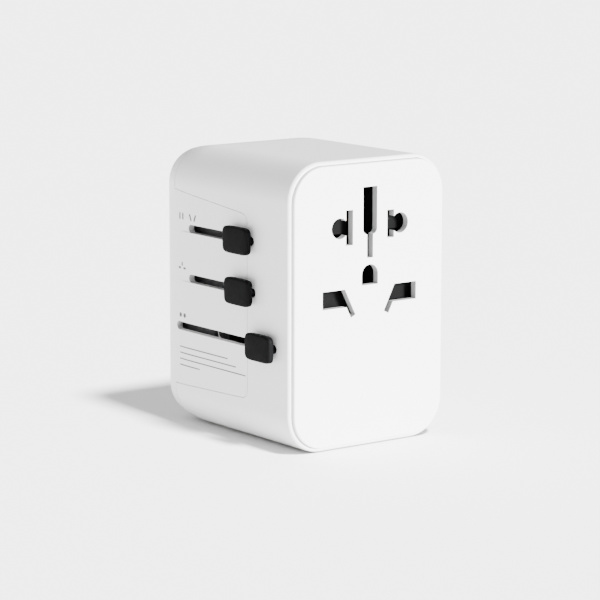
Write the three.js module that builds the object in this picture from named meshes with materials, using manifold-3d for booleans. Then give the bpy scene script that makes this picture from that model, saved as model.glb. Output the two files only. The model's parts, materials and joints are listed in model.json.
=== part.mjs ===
// Universal travel adapter: a white box with a combined socket face, and US/AU, UK and EU
// plugs that three side knobs slide out of its back.
// Millimetres. +X is to the right of the socket face, +Y runs from that face to the back,
// +Z is up. Depths along Y are measured from the socket face, and the top group moves the
// whole adapter so that its origin is the middle of its flat base.
import * as THREE from 'three';
import { mergeVertices } from 'three/addons/utils/BufferGeometryUtils.js';
import Module from 'manifold-3d';

// Housing
const WIDTH = 49.2;
const DEPTH = 56.8;
const HEIGHT = 73;
const CORNER_R = 10;
const WALL = 1.9;
const SHELL_FRONT = 1.05;
const FRONT_FILLET = 0.9;
const REAR_ROUND_DEPTH = 13;
const REAR_ROUND_INSET = 3.1;
const REAR_HOLLOW_ROUND = 5;
const SEAM_DEPTH = 51.2;
const SEAM_GAP = 0.12;
const GAP = 0.3;

// Socket face, which stands a little proud of the shell. Heights are from the EU holes' line.
const FACE_PLATE = 1.9;
const FACE_INSET = 1.1;
const FACE_RIM = 0.4;
const REBATE_DEPTH = 2.1;
const SOCKET_Z = 56.1;
const EU_PITCH = 19;
const EU_HOLE_R = 2.6;
const US_SLOT_IN = 5.42;
const US_SLOT_OUT = 7.6;
const US_SLOT_TALL = 4.4;
const US_SLOT_SHORT = 3.5;
const UK_EARTH_HALF = 2.2;
const UK_EARTH_TOP = 9.85;
const UK_EARTH_FOOT = -0.9;
const AU_EARTH_HALF = 0.94;
const AU_EARTH_TOP = -2.1;
const AU_EARTH_FOOT = -8.05;
const US_GROUND_HALF = 2.56;
const US_GROUND_TOP = -9.75;
const US_GROUND_FOOT = -14.9;
const UK_SLOT_OUT = 14.85;
const UK_SLOT_IN = 7.87;
const UK_SLOT_TOP = -15.43;
const UK_SLOT_FOOT = -19.93;
const AU_TILT = THREE.MathUtils.degToRad(27);
const AU_SLOT_W = 1.6;
const AU_SLOT_FOOT = -22.0;

// Slider rows: the height and the depths of the two ends of each knob's slot
const SLOT_H = 2.2;
const US_ROW = { z: 52.3, slotFront: 15.5, slotRear: 44.5 };
const UK_ROW = { z: 39.35, slotFront: 14.9, slotRear: 44.4 };
const EU_ROW = { z: 26.35, slotFront: 6, slotRear: 50.3 };
const RECESS_DEPTH = 0.2;
const STEM_LENGTH = 5.6;
const STEM_SETBACK = 0.8;
const CAP_LENGTH = 10.6;
const CAP_HEIGHT = 6.9;
const CAP_THICK = 1.7;
const CAP_STANDOFF = 1.2;
const KNOB_PLATE_T = 0.9;
const KNOB_PLATE_H = 6;

// Tongue of the back cover on the slider side
const TONGUE_FRONT = 18.5;
const TONGUE_TOP = { front: 58.9, rear: 62.3 };
const TONGUE_FOOT = { front: 12, rear: 10.8 };
const TONGUE_R = 2.2;

// Plugs, pushed in
const CARRIAGE_FRONT = 25.3;
const PIN_ROOT = 31.5;
const US_PITCH = 12.7;
const US_BLADE_W = 6.35;
const US_BLADE_T = 1.55;
const US_BLADE_TIP = 51;
const US_HUB_R = 3.2;
const US_TWIST = THREE.MathUtils.degToRad(30);
const UK_PITCH = 22.2;
const UK_PIN_W = 6.3;
const UK_PIN_H = 4;
const UK_EARTH_W = 4;
const UK_EARTH_H = 8;
const UK_PIN_Z = 34.7;
const UK_EARTH_Z = UK_PIN_Z + 22.2;
const UK_PIN_TIP = 51.6;
const UK_EARTH_TIP = 56.2;
const EU_PLUG_Z = 23.4;
const EU_PLUG_W = 34;
const EU_PLUG_H = 13.4;
const EU_PLUG_FRONT = 14;
const EU_PLUG_REAR = 37;
const EU_PIN_R = 2.4;
const EU_PIN_TIP = 56;
const PIN_CLEARANCE = 0.4;

// Side arms that join the carriages to their knobs, and the guide frame's walls
const ARM_OUT = -WIDTH / 2 + WALL + 2 * GAP + KNOB_PLATE_T;
const ARM_IN = ARM_OUT + 1;
const ARM_FRONT = 15.5;
const ARM_REAR = 27;
const CROSSING_LOW = 2.5;
const CROSSING_HIGH = 4.1;
const FRAME_FRONT = 25.4;
const FRAME_REAR = 54;
const RAIL_OUT = -19.9;
const RAIL_IN = -18.8;
const SHELF_T = 1.3;

// Socket side, fuse and fixings
const BLOCK_FRONT = 9.5;
const BLOCK_REAR = 24;
const BLOCK_HALF = 16.4;
const SHEET = 0.6;
const RIB_IN = 3;
const RIB_OUT = 3.8;
const SHUTTER_FRONT = 3.6;
const SHUTTER_T = 1.6;
const SHUTTER_HALF = 16.4;
const SHUTTER_FOOT = SOCKET_Z - 26.5;
const SPRING_LOW = 13.2;
const SPRING_R = 2;
const SPRING_TURNS = 6;
const SPRING_WIRE_R = 0.3;
const FUSE = { x: 8, z: 8, r: 2.6, front: 22, rear: 48, cap: 6 };
const POST_R = 2.9;
const POST_X = 18;
const POST_INSET = 6.7;
const POST_LENGTH = 46;
const SCREW_R = 1.3;
const SCREW_HEAD_R = 2;
const SCREW_RECESS = 3.4;

const wasm = await Module();
wasm.setup();

const adapter = new THREE.Group();
adapter.position.y = -DEPTH / 2;

// ---------------------------------------------------------------- shapes and booleans

function toSolid(geometry) {
  const bare = geometry.index ? geometry.toNonIndexed() : geometry;
  bare.deleteAttribute('normal');
  bare.deleteAttribute('uv');
  const merged = mergeVertices(bare, 1e-5);
  return new wasm.Manifold(new wasm.Mesh({
    numProp: 3,
    vertProperties: new Float32Array(merged.attributes.position.array),
    triVerts: new Uint32Array(merged.index.array),
  }));
}

function toGeometry(solid) {
  const mesh = solid.getMesh();
  const geometry = new THREE.BufferGeometry();
  geometry.setAttribute('position', new THREE.BufferAttribute(mesh.vertProperties, 3));
  geometry.setIndex(new THREE.BufferAttribute(mesh.triVerts, 1));
  geometry.computeVertexNormals();
  return geometry;
}

function union(...solids) {
  return solids.reduce((whole, solid) => whole.add(solid));
}

function cut(solid, ...tools) {
  return tools.reduce((whole, tool) => whole.subtract(tool), solid);
}

function box(x0, x1, y0, y1, z0, z1) {
  const geometry = new THREE.BoxGeometry(x1 - x0, y1 - y0, z1 - z0);
  geometry.translate((x0 + x1) / 2, (y0 + y1) / 2, (z0 + z1) / 2);
  return toSolid(geometry);
}

// A box on one side of the middle: side is 1 for the right and -1 for the left.
function sideBox(side, near, far, y0, y1, z0, z1) {
  return box(Math.min(side * near, side * far), Math.max(side * near, side * far), y0, y1, z0, z1);
}

// An outline drawn in X and Z, run along Y from y0 to y1.
function alongY(outline, y0, y1, options = {}) {
  const geometry = new THREE.ExtrudeGeometry(outline, {
    depth: y1 - y0, bevelEnabled: false, curveSegments: 6, ...options,
  });
  geometry.rotateX(Math.PI / 2);
  geometry.translate(0, y1, 0);
  return toSolid(geometry);
}

// An outline drawn in Y and Z, run along X from x0 to x1.
function alongX(outline, x0, x1, options = {}) {
  const geometry = new THREE.ExtrudeGeometry(outline, {
    depth: x1 - x0, bevelEnabled: false, curveSegments: 6, ...options,
  });
  geometry.rotateX(Math.PI / 2);
  geometry.rotateZ(Math.PI / 2);
  geometry.translate(x0, 0, 0);
  return toSolid(geometry);
}

function rodY(x, z, r, y0, y1, sides = 20) {
  const geometry = new THREE.CylinderGeometry(r, r, y1 - y0, sides);
  geometry.translate(x, (y0 + y1) / 2, z);
  return toSolid(geometry);
}

// A round pin along Y, turned from a profile of [radius, depth] points.
function turnedY(x, z, profile, sides = 20) {
  const points = profile.map(([r, y]) => new THREE.Vector2(r, y));
  const geometry = new THREE.LatheGeometry(points, sides);
  geometry.translate(x, 0, z);
  return toSolid(geometry);
}

function polygon(points) {
  return new THREE.Shape(points.map(([a, b]) => new THREE.Vector2(a, b)));
}

function roundRect(a0, a1, b0, b1, r) {
  const outline = new THREE.Shape();
  outline.absarc(a1 - r, b0 + r, r, -Math.PI / 2, 0);
  outline.absarc(a1 - r, b1 - r, r, 0, Math.PI / 2);
  outline.absarc(a0 + r, b1 - r, r, Math.PI / 2, Math.PI);
  outline.absarc(a0 + r, b0 + r, r, Math.PI, 1.5 * Math.PI);
  return outline;
}

function tiltedRect(x, z, width, height, angle) {
  const corners = [[-1, -1], [1, -1], [1, 1], [-1, 1]].map(([i, j]) => {
    const corner = new THREE.Vector2(i * width / 2, j * height / 2);
    corner.rotateAround(new THREE.Vector2(0, 0), angle);
    return [x + corner.x, z + corner.y];
  });
  return polygon(corners);
}

// The housing's outline, drawn in from the outer skin by inset.
function housingOutline(inset) {
  const half = WIDTH / 2 - inset;
  return roundRect(-half, half, inset, HEIGHT - inset, CORNER_R - inset);
}

// The whole box behind the socket face, with a rounded front edge and a softer back edge,
// drawn in by inset. The back edge's rounding starts rearDepth ahead of the back.
function housingBox(inset, rearDepth) {
  const frontStart = SHELL_FRONT + FRONT_FILLET;
  const front = alongY(housingOutline(inset + FRONT_FILLET), frontStart, DEPTH * 2, {
    bevelEnabled: true, bevelThickness: FRONT_FILLET, bevelSize: FRONT_FILLET, bevelSegments: 3,
  });
  const rearEnd = DEPTH - inset - rearDepth;
  const rear = alongY(housingOutline(inset + REAR_ROUND_INSET), -DEPTH, rearEnd, {
    bevelEnabled: true, bevelThickness: rearDepth, bevelSize: REAR_ROUND_INSET, bevelSegments: 6,
  });
  return front.intersect(rear);
}

function piece(name, solid, color, roughness, metalness, parent = adapter) {
  const material = new THREE.MeshStandardMaterial({ color, roughness, metalness });
  const mesh = new THREE.Mesh(toGeometry(solid), material);
  mesh.name = name;
  parent.add(mesh);
  return mesh;
}

const whitePlastic = (name, solid, parent) => piece(name, solid, 0xf2f2f2, 0.45, 0, parent);
const blackPlastic = (name, solid, parent) => piece(name, solid, 0x1c1c1e, 0.5, 0, parent);
const greyPlastic = (name, solid, parent) => piece(name, solid, 0x4a4a4c, 0.55, 0, parent);
const brass = (name, solid, parent) => piece(name, solid, 0xb8974a, 0.35, 1, parent);
const nickel = (name, solid, parent) => piece(name, solid, 0xc8c8c8, 0.25, 1, parent);
const steel = (name, solid, parent) => piece(name, solid, 0x9a9a9c, 0.35, 1, parent);
const ceramic = (name, solid, parent) => piece(name, solid, 0xeeeae0, 0.6, 0, parent);

// ---------------------------------------------------------------- socket holes

const mirrorX = (points) => points.map(([x, z]) => [-x, z]).reverse();

// The earth pin's hole: a wide slot whose shoulders curve into the thin AU slot below.
function earthHole() {
  const outline = new THREE.Shape();
  const shoulder = 0.6;
  outline.moveTo(-AU_EARTH_HALF, SOCKET_Z + AU_EARTH_FOOT);
  outline.lineTo(AU_EARTH_HALF, SOCKET_Z + AU_EARTH_FOOT);
  outline.lineTo(AU_EARTH_HALF, SOCKET_Z + AU_EARTH_TOP);
  outline.quadraticCurveTo(
    UK_EARTH_HALF, SOCKET_Z + AU_EARTH_TOP + shoulder, UK_EARTH_HALF, SOCKET_Z + UK_EARTH_FOOT);
  outline.lineTo(UK_EARTH_HALF, SOCKET_Z + UK_EARTH_TOP);
  outline.lineTo(-UK_EARTH_HALF, SOCKET_Z + UK_EARTH_TOP);
  outline.lineTo(-UK_EARTH_HALF, SOCKET_Z + UK_EARTH_FOOT);
  outline.quadraticCurveTo(
    -UK_EARTH_HALF, SOCKET_Z + AU_EARTH_TOP + shoulder, -AU_EARTH_HALF, SOCKET_Z + AU_EARTH_TOP);
  outline.closePath();
  return outline;
}

function groundHole() {
  const outline = new THREE.Shape();
  outline.moveTo(-US_GROUND_HALF, SOCKET_Z + US_GROUND_FOOT);
  outline.lineTo(US_GROUND_HALF, SOCKET_Z + US_GROUND_FOOT);
  outline.absarc(0, SOCKET_Z + US_GROUND_TOP - US_GROUND_HALF, US_GROUND_HALF, 0, Math.PI);
  outline.closePath();
  return outline;
}

// The flat UK slot and the leaning AU slot run into one another.
function ukAuHole() {
  const lean = Math.tan(AU_TILT);
  const across = AU_SLOT_W / Math.cos(AU_TILT);
  const innerX = (z) => UK_SLOT_IN - lean * (UK_SLOT_TOP - z);
  const foot = [innerX(AU_SLOT_FOOT), SOCKET_Z + AU_SLOT_FOOT];
  const heel = [
    foot[0] + AU_SLOT_W * Math.cos(AU_TILT),
    foot[1] - AU_SLOT_W * Math.sin(AU_TILT),
  ];
  return [
    [UK_SLOT_IN, SOCKET_Z + UK_SLOT_TOP],
    foot,
    heel,
    [innerX(UK_SLOT_FOOT) + across, SOCKET_Z + UK_SLOT_FOOT],
    [UK_SLOT_OUT, SOCKET_Z + UK_SLOT_FOOT],
    [UK_SLOT_OUT, SOCKET_Z + UK_SLOT_TOP],
  ];
}

function socketHoles(y0, y1) {
  const tall = SOCKET_Z + US_SLOT_TALL;
  const short = SOCKET_Z + US_SLOT_SHORT;
  const uk = ukAuHole();
  return union(
    rodY(-EU_PITCH / 2, SOCKET_Z, EU_HOLE_R, y0, y1, 28),
    rodY(EU_PITCH / 2, SOCKET_Z, EU_HOLE_R, y0, y1, 28),
    box(-US_SLOT_OUT, -US_SLOT_IN, y0, y1, SOCKET_Z - US_SLOT_TALL, tall),
    box(US_SLOT_IN, US_SLOT_OUT, y0, y1, SOCKET_Z - US_SLOT_SHORT, short),
    alongY(earthHole(), y0, y1),
    alongY(groundHole(), y0, y1),
    alongY(polygon(uk), y0, y1),
    alongY(polygon(mirrorX(uk)), y0, y1),
  );
}

// ---------------------------------------------------------------- slider slots and tongue

function capsule(front, rear, z, x0, x1) {
  return alongX(roundRect(front, rear, z - SLOT_H / 2, z + SLOT_H / 2, SLOT_H / 2 - 0.01), x0, x1);
}

// The knobs' slots, and the shallow marks that carry the two short slots on to the back.
function allSlots() {
  const outside = -WIDTH / 2 - 1;
  const inside = -WIDTH / 2 + WALL + 1;
  const recessFloor = -WIDTH / 2 + RECESS_DEPTH;
  const through = [US_ROW, UK_ROW, EU_ROW].map(({ z, slotFront, slotRear }) => (
    capsule(slotFront, slotRear, z, outside, inside)));
  const recesses = [US_ROW, UK_ROW].map(({ z, slotRear }) => (
    capsule(slotRear - 2 * SLOT_H, EU_ROW.slotRear, z, outside, recessFloor)));
  return [...through, ...recesses];
}

// The slider side's window in the shell, which the tongue fills, grown by margin.
function tongueBlock(margin, x0, x1) {
  const rear = SEAM_DEPTH + 4;
  const front = TONGUE_FRONT - margin;
  const top = TONGUE_TOP.front + margin;
  const foot = TONGUE_FOOT.front - margin;
  const r = TONGUE_R + margin;
  const outline = new THREE.Shape();
  outline.moveTo(rear, TONGUE_FOOT.rear - margin);
  outline.lineTo(rear, TONGUE_TOP.rear + margin);
  outline.lineTo(front + r, top);
  outline.quadraticCurveTo(front, top, front, top - r);
  outline.lineTo(front, foot + r);
  outline.quadraticCurveTo(front, foot, front + r, foot);
  outline.closePath();
  return alongX(outline, x0, x1);
}

// ---------------------------------------------------------------- housing

const skin = housingBox(0, REAR_ROUND_DEPTH);
const hollow = alongY(housingOutline(WALL), -1, SEAM_DEPTH + 0.1);
const rearHollow = housingBox(WALL, REAR_HOLLOW_ROUND);
const leftOf = -WIDTH / 2 - 1;
const leftWallEnd = -WIDTH / 2 + WALL + 0.5;

function mainShell() {
  const rebate = alongY(housingOutline(FACE_INSET - SEAM_GAP), -1, REBATE_DEPTH);
  const behindSeam = box(-WIDTH, WIDTH, SEAM_DEPTH, DEPTH + 1, -1, HEIGHT + 1);
  const tongueWindow = tongueBlock(SEAM_GAP, leftOf, leftWallEnd);
  return cut(skin, hollow, rebate, behindSeam, tongueWindow, ...allSlots());
}

function screwPosts() {
  const heights = [POST_INSET, HEIGHT - POST_INSET];
  return [-POST_X, POST_X].flatMap((x) => heights.map((z) => ({ x, z })));
}

// The socket face with its screw posts, the shutter's side guides and the spring's seat.
function frontCover() {
  const face = alongY(housingOutline(FACE_INSET + FACE_RIM), FACE_RIM, FACE_PLATE, {
    bevelEnabled: true, bevelThickness: FACE_RIM, bevelSize: FACE_RIM, bevelSegments: 2,
  });
  const behindFace = box(-WIDTH, WIDTH, FACE_PLATE, FACE_PLATE + 2, -1, HEIGHT + 1);
  const joint = FACE_PLATE - 0.2;
  const posts = screwPosts().map(({ x, z }) => rodY(x, z, POST_R, joint, POST_LENGTH, 16));
  const bores = screwPosts().map(({ x, z }) => (
    rodY(x, z, SCREW_R + 0.1, POST_LENGTH - 12, POST_LENGTH + 1, 12)));
  const guides = [-1, 1].map((side) => sideBox(side, SHUTTER_HALF + 0.4, SHUTTER_HALF + 1.6,
    joint, SHUTTER_FRONT + SHUTTER_T, SHUTTER_FOOT - 3, SOCKET_Z + 5));
  const springSeat = box(-3.4, 3.4, joint, SHUTTER_FRONT + 4.8, SPRING_LOW - 1.8, SPRING_LOW - 0.1);
  return cut(union(cut(face, behindFace), ...posts, ...guides, springSeat),
    socketHoles(-1, FACE_PLATE + 1), ...bores);
}

function bowTie(x, side) {
  const tall = US_BLADE_W + 2 * PIN_CLEARANCE;
  const wide = US_BLADE_T + 2 * PIN_CLEARANCE;
  const steps = [0, 0.5, 1];
  return union(...steps.map((t) => alongY(
    tiltedRect(x, US_ROW.z, wide, tall, side * t * US_TWIST), SEAM_DEPTH, DEPTH + 1)));
}

function pinHole(x, z, width, height) {
  const halfW = width / 2 + PIN_CLEARANCE;
  const halfH = height / 2 + PIN_CLEARANCE;
  return box(x - halfW, x + halfW, SEAM_DEPTH, DEPTH + 1, z - halfH, z + halfH);
}

function rearCover() {
  const aheadOfSeam = box(-WIDTH, WIDTH, -1, SEAM_DEPTH + SEAM_GAP, -1, HEIGHT + 1);
  const tongue = tongueBlock(0, leftOf, leftWallEnd).intersect(cut(skin, hollow));
  const inside = rearHollow.intersect(box(-WIDTH, WIDTH, SEAM_DEPTH - 2, DEPTH, -1, HEIGHT + 1));
  const shell = cut(union(cut(skin, aheadOfSeam), tongue), inside);
  const bosses = screwPosts().map(({ x, z }) => rodY(x, z, POST_R, POST_LENGTH + 0.5, DEPTH - 1, 16));
  const bores = screwPosts().map(({ x, z }) => rodY(x, z, SCREW_R + 0.3, POST_LENGTH, DEPTH + 1, 12));
  const heads = screwPosts().map(({ x, z }) => (
    rodY(x, z, SCREW_HEAD_R + GAP, DEPTH - SCREW_RECESS, DEPTH + 1, 16)));
  return cut(union(shell, ...bosses),
    bowTie(-US_PITCH / 2, 1),
    bowTie(US_PITCH / 2, -1),
    pinHole(-UK_PITCH / 2, UK_PIN_Z, UK_PIN_W, UK_PIN_H),
    pinHole(UK_PITCH / 2, UK_PIN_Z, UK_PIN_W, UK_PIN_H),
    pinHole(0, UK_EARTH_Z, UK_EARTH_W, UK_EARTH_H),
    alongY(euOutline(PIN_CLEARANCE), SEAM_DEPTH, DEPTH + 1),
    ...bores, ...heads, ...allSlots());
}

whitePlastic('main_shell', mainShell());
whitePlastic('front_cover', frontCover());
whitePlastic('rear_cover', rearCover());

screwPosts().forEach(({ x, z }, index) => {
  const seat = DEPTH - SCREW_RECESS + GAP;
  const shank = rodY(x, z, SCREW_R - 0.2, POST_LENGTH - 10, seat + 0.5, 12);
  const head = rodY(x, z, SCREW_HEAD_R, seat, seat + 1.4, 16);
  const recess = rodY(x, z, 0.9, seat + 0.7, DEPTH, 3);
  steel(`case_screw_${index + 1}`, cut(union(shank, head), recess));
});

// ---------------------------------------------------------------- knobs

function knob(row) {
  const wallX = -WIDTH / 2;
  const stemFront = row.slotFront + GAP;
  const stemRear = stemFront + STEM_LENGTH;
  const capFront = stemFront - STEM_SETBACK;
  const capRear = capFront + CAP_LENGTH;
  const capInner = wallX - CAP_STANDOFF;
  const edge = 0.5;
  const halfHeight = CAP_HEIGHT / 2 - edge;
  const outline = roundRect(capFront + edge, capRear - edge, row.z - halfHeight, row.z + halfHeight, 1.4);
  const cap = alongX(outline, capInner - CAP_THICK + edge, capInner - edge, {
    bevelEnabled: true, bevelThickness: edge, bevelSize: edge, bevelSegments: 2, curveSegments: 4,
  });
  const half = SLOT_H / 2 - GAP;
  const stemOutline = roundRect(stemFront, stemRear, row.z - half, row.z + half, half - 0.01);
  const stem = alongX(stemOutline, capInner - 0.6, wallX + WALL + GAP + 0.3);
  const plateX = wallX + WALL + GAP;
  const plate = box(plateX, plateX + KNOB_PLATE_T, stemFront, stemRear + 0.6,
    row.z - KNOB_PLATE_H / 2, row.z + KNOB_PLATE_H / 2);
  return union(cap, stem, plate);
}

blackPlastic('us_knob', knob(US_ROW));
blackPlastic('uk_knob', knob(UK_ROW));
blackPlastic('eu_knob', knob(EU_ROW));

// ---------------------------------------------------------------- carriages and pins

// The US and UK carriages reach their knobs by side arms that pass over the guide rails.
function sideArm(row, inner) {
  const low = row.z + CROSSING_LOW;
  const high = row.z + CROSSING_HIGH;
  const bar = box(ARM_OUT, ARM_IN, ARM_FRONT, ARM_REAR, row.z - CROSSING_LOW, high);
  const crossing = box(ARM_OUT, inner, CARRIAGE_FRONT, ARM_REAR, low, high);
  const root = box(RAIL_IN, inner, CARRIAGE_FRONT, PIN_ROOT, low, high);
  return union(bar, crossing, root);
}

// Two legs that hold the blades' hubs, joined over the top of the UK carriage's upright.
function usCarriage() {
  const z = US_ROW.z;
  const top = z + 12.1;
  const legIn = 3.6;
  const legOut = 10.6;
  const legs = [-1, 1].map((side) => (
    sideBox(side, legIn, legOut, CARRIAGE_FRONT, PIN_ROOT, z - 4.4, top)));
  const bridge = box(-legOut, legOut, CARRIAGE_FRONT, PIN_ROOT, top - 2.1, top);
  const hubs = [-1, 1].map((side) => union(
    rodY(side * US_PITCH / 2, z, US_HUB_R + GAP, CARRIAGE_FRONT + 2, PIN_ROOT + 1, 24),
    rodY(side * US_PITCH / 2, z, 1.2 + GAP, CARRIAGE_FRONT - 1, PIN_ROOT, 16)));
  return cut(union(...legs, bridge, sideArm(US_ROW, 1 - legOut)), ...hubs);
}

// A flat blade with chamfered corners, on the round hub that lets it twist in its carriage.
function usBlade(side) {
  const x = side * US_PITCH / 2;
  const low = US_ROW.z - US_BLADE_W / 2;
  const high = US_ROW.z + US_BLADE_W / 2;
  const chamfer = 1.1;
  const blade = alongX(polygon([
    [PIN_ROOT - 1, low],
    [US_BLADE_TIP - chamfer, low],
    [US_BLADE_TIP, low + chamfer],
    [US_BLADE_TIP, high - chamfer],
    [US_BLADE_TIP - chamfer, high],
    [PIN_ROOT - 1, high],
  ]), x - US_BLADE_T / 2, x + US_BLADE_T / 2);
  const hub = rodY(x, US_ROW.z, US_HUB_R, CARRIAGE_FRONT + 2 + GAP, PIN_ROOT, 24);
  const pivot = rodY(x, US_ROW.z, 1.2, CARRIAGE_FRONT + GAP, CARRIAGE_FRONT + 3, 16);
  return union(blade, hub, pivot);
}

// A crossbar for the two flat pins and an upright for the earth pin.
function ukCarriage() {
  const z = UK_PIN_Z;
  const half = 15.5;
  const crossbar = box(-half, half, CARRIAGE_FRONT, PIN_ROOT, z - 2.6, z + 2.6);
  const upright = box(-2.6, 2.6, CARRIAGE_FRONT, PIN_ROOT, z, UK_EARTH_Z + 4.9);
  const leftPost = box(-half, 2.1 - half, CARRIAGE_FRONT, PIN_ROOT, z, UK_ROW.z + CROSSING_HIGH);
  const socket = (x, height, halfW, halfH) => (
    box(x - halfW, x + halfW, CARRIAGE_FRONT + 2, PIN_ROOT + 1, height - halfH, height + halfH));
  return cut(union(crossbar, upright, leftPost, sideArm(UK_ROW, 2.1 - half)),
    socket(-UK_PITCH / 2, z, 2.8, 1.6),
    socket(UK_PITCH / 2, z, 2.8, 1.6),
    socket(0, UK_EARTH_Z, 1.6, 3.5));
}

// A flat-sided UK pin with a narrower root held in the carriage and a chamfered tip.
function ukPin(x, z, width, height, tip) {
  const chamfer = 0.8;
  const start = PIN_ROOT + GAP;
  const outline = tiltedRect(x, z, width - 2 * chamfer, height - 2 * chamfer, 0);
  const bar = alongY(outline, start + chamfer, tip - chamfer, {
    bevelEnabled: true, bevelThickness: chamfer, bevelSize: chamfer, bevelSegments: 1,
  });
  const root = box(x - width / 2 + 0.65, x + width / 2 - 0.65, CARRIAGE_FRONT + 2 + GAP, start + 2,
    z - height / 2 + 0.7, z + height / 2 - 0.7);
  return union(bar, root);
}

function euOutline(grow) {
  const half = EU_PLUG_W / 2 + grow;
  const side = EU_PLUG_H / 2 + grow;
  const slope = EU_PLUG_H / 2 - 2.2;
  return polygon([
    [-half, EU_PLUG_Z - side + slope],
    [-half + slope, EU_PLUG_Z - side],
    [half - slope, EU_PLUG_Z - side],
    [half, EU_PLUG_Z - side + slope],
    [half, EU_PLUG_Z + side - slope],
    [half - slope, EU_PLUG_Z + side],
    [-half + slope, EU_PLUG_Z + side],
    [-half, EU_PLUG_Z + side - slope],
  ]);
}

// The EU plug body, with an arm that passes under its guide rail to the knob.
function euCarriage() {
  const body = alongY(euOutline(0), EU_PLUG_FRONT, EU_PLUG_REAR);
  const front = EU_ROW.slotFront + 0.5;
  const rear = EU_PLUG_FRONT - 1;
  const low = EU_PLUG_Z - EU_PLUG_H / 2 + 0.1;
  const arm = box(ARM_OUT, ARM_IN, front, rear, low, EU_ROW.z + 2.6);
  const crossing = box(ARM_OUT, -9, rear - 5, rear, low, low + 1.6);
  const tail = box(-16.5, -9, rear - 5, EU_PLUG_FRONT + 1, low, low + 5);
  const sockets = [-EU_PITCH / 2, EU_PITCH / 2].map((x) => (
    rodY(x, EU_PLUG_Z, 1.6 + GAP, EU_PLUG_REAR - 8, EU_PLUG_REAR + 1, 16)));
  return cut(union(body, arm, crossing, tail), ...sockets);
}

function euPin(x) {
  const start = EU_PLUG_REAR + GAP;
  const round = 1.6;
  const profile = [[0, EU_PLUG_REAR - 7], [1.6, EU_PLUG_REAR - 7], [1.6, start], [EU_PIN_R, start]];
  const steps = 5;
  for (let i = 0; i <= steps; i += 1) {
    const angle = (i / steps) * Math.PI / 2;
    const r = EU_PIN_R - round + round * Math.cos(angle);
    profile.push([r, EU_PIN_TIP - round + round * Math.sin(angle)]);
  }
  profile.push([0, EU_PIN_TIP]);
  return turnedY(x, EU_PLUG_Z, profile, 24);
}

blackPlastic('us_carriage', usCarriage());
nickel('us_blade_left', usBlade(-1));
nickel('us_blade_right', usBlade(1));
blackPlastic('uk_carriage', ukCarriage());
nickel('uk_pin_neutral', ukPin(-UK_PITCH / 2, UK_PIN_Z, UK_PIN_W, UK_PIN_H, UK_PIN_TIP));
nickel('uk_pin_live', ukPin(UK_PITCH / 2, UK_PIN_Z, UK_PIN_W, UK_PIN_H, UK_PIN_TIP));
blackPlastic('uk_pin_earth', ukPin(0, UK_EARTH_Z, UK_EARTH_W, UK_EARTH_H, UK_EARTH_TIP));
blackPlastic('eu_carriage', euCarriage());
nickel('eu_pin_left', euPin(-EU_PITCH / 2));
nickel('eu_pin_right', euPin(EU_PITCH / 2));

// ---------------------------------------------------------------- guide frame

// Shelves between the plugs, a wall on the right, and a rail behind each slot on the left.
function slideFrame() {
  const rightIn = 19;
  const rightOut = 20.4;
  const euFloor = EU_PLUG_Z - EU_PLUG_H / 2 - 0.7;
  const euCeiling = EU_PLUG_Z + EU_PLUG_H / 2 + 0.5;
  const usFloor = US_ROW.z - 6.6;
  const shelf = (top) => box(RAIL_OUT, rightOut, FRAME_FRONT, FRAME_REAR, top - SHELF_T, top);
  const rail = (front, low, high) => box(RAIL_OUT, RAIL_IN, front, FRAME_REAR, low, high);
  const railFront = US_ROW.slotFront + 13.4;
  const euRailFront = EU_PLUG_REAR + 2.2;
  const shelves = [euFloor, euCeiling + SHELF_T, usFloor].map(shelf);
  const rightWall = box(rightIn, rightOut, FRAME_FRONT, FRAME_REAR, euFloor - SHELF_T, US_ROW.z + 9.6);
  const rails = [
    rail(railFront, usFloor - SHELF_T, US_ROW.z + CROSSING_LOW - 0.4),
    rail(railFront, euCeiling, UK_ROW.z + CROSSING_LOW - 0.4),
    rail(euRailFront, euFloor + 3, euCeiling + SHELF_T),
  ];
  // The shelf under the US plug leaves a way for the UK upright and is joined ahead of it.
  const tie = box(-6, 6, BLOCK_REAR + GAP, FRAME_FRONT + 0.1, usFloor - SHELF_T, usFloor);
  const uprightWay = box(-3.4, 3.4, CARRIAGE_FRONT - GAP, FRAME_REAR + 1, usFloor - 3, usFloor + 1);
  return cut(union(...shelves, tie, rightWall, ...rails), uprightWay);
}

greyPlastic('slide_frame', slideFrame());

// ---------------------------------------------------------------- socket side

// The block that holds the contacts: a pocket on each side and two earth wells between them, with
// ribs that reach forward to the face and part the earth holes from the live ones.
function contactBlock() {
  const foot = SOCKET_Z - 23.8;
  const top = SOCKET_Z + 13.4;
  const wellTop = SOCKET_Z + 10.4;
  const wellFoot = SOCKET_Z - 15.4;
  const floor = BLOCK_REAR - 1.2;
  const mouth = BLOCK_FRONT - 1;
  const body = alongY(roundRect(-BLOCK_HALF, BLOCK_HALF, foot, top, 2), BLOCK_FRONT, BLOCK_REAR);
  const pockets = [-1, 1].map((side) => (
    sideBox(side, 4.1, BLOCK_HALF - 1.1, mouth, floor, foot + 1.2, SOCKET_Z + 6)));
  const ribs = [-1, 1].map((side) => (
    sideBox(side, RIB_IN, RIB_OUT, FACE_PLATE + GAP, BLOCK_FRONT + 0.2, wellFoot, wellTop)));
  const earthWell = box(-2.7, 2.7, mouth, floor, SOCKET_Z - 8.8, wellTop);
  const groundWell = box(-2.9, 2.9, mouth, floor, wellFoot, SOCKET_Z - 9.5);
  const postWays = screwPosts().map(({ x, z }) => rodY(x, z, POST_R + GAP, mouth, BLOCK_REAR + 1, 16));
  return cut(union(body, ...ribs), ...pockets, earthWell, groundWell, ...postWays);
}

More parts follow.
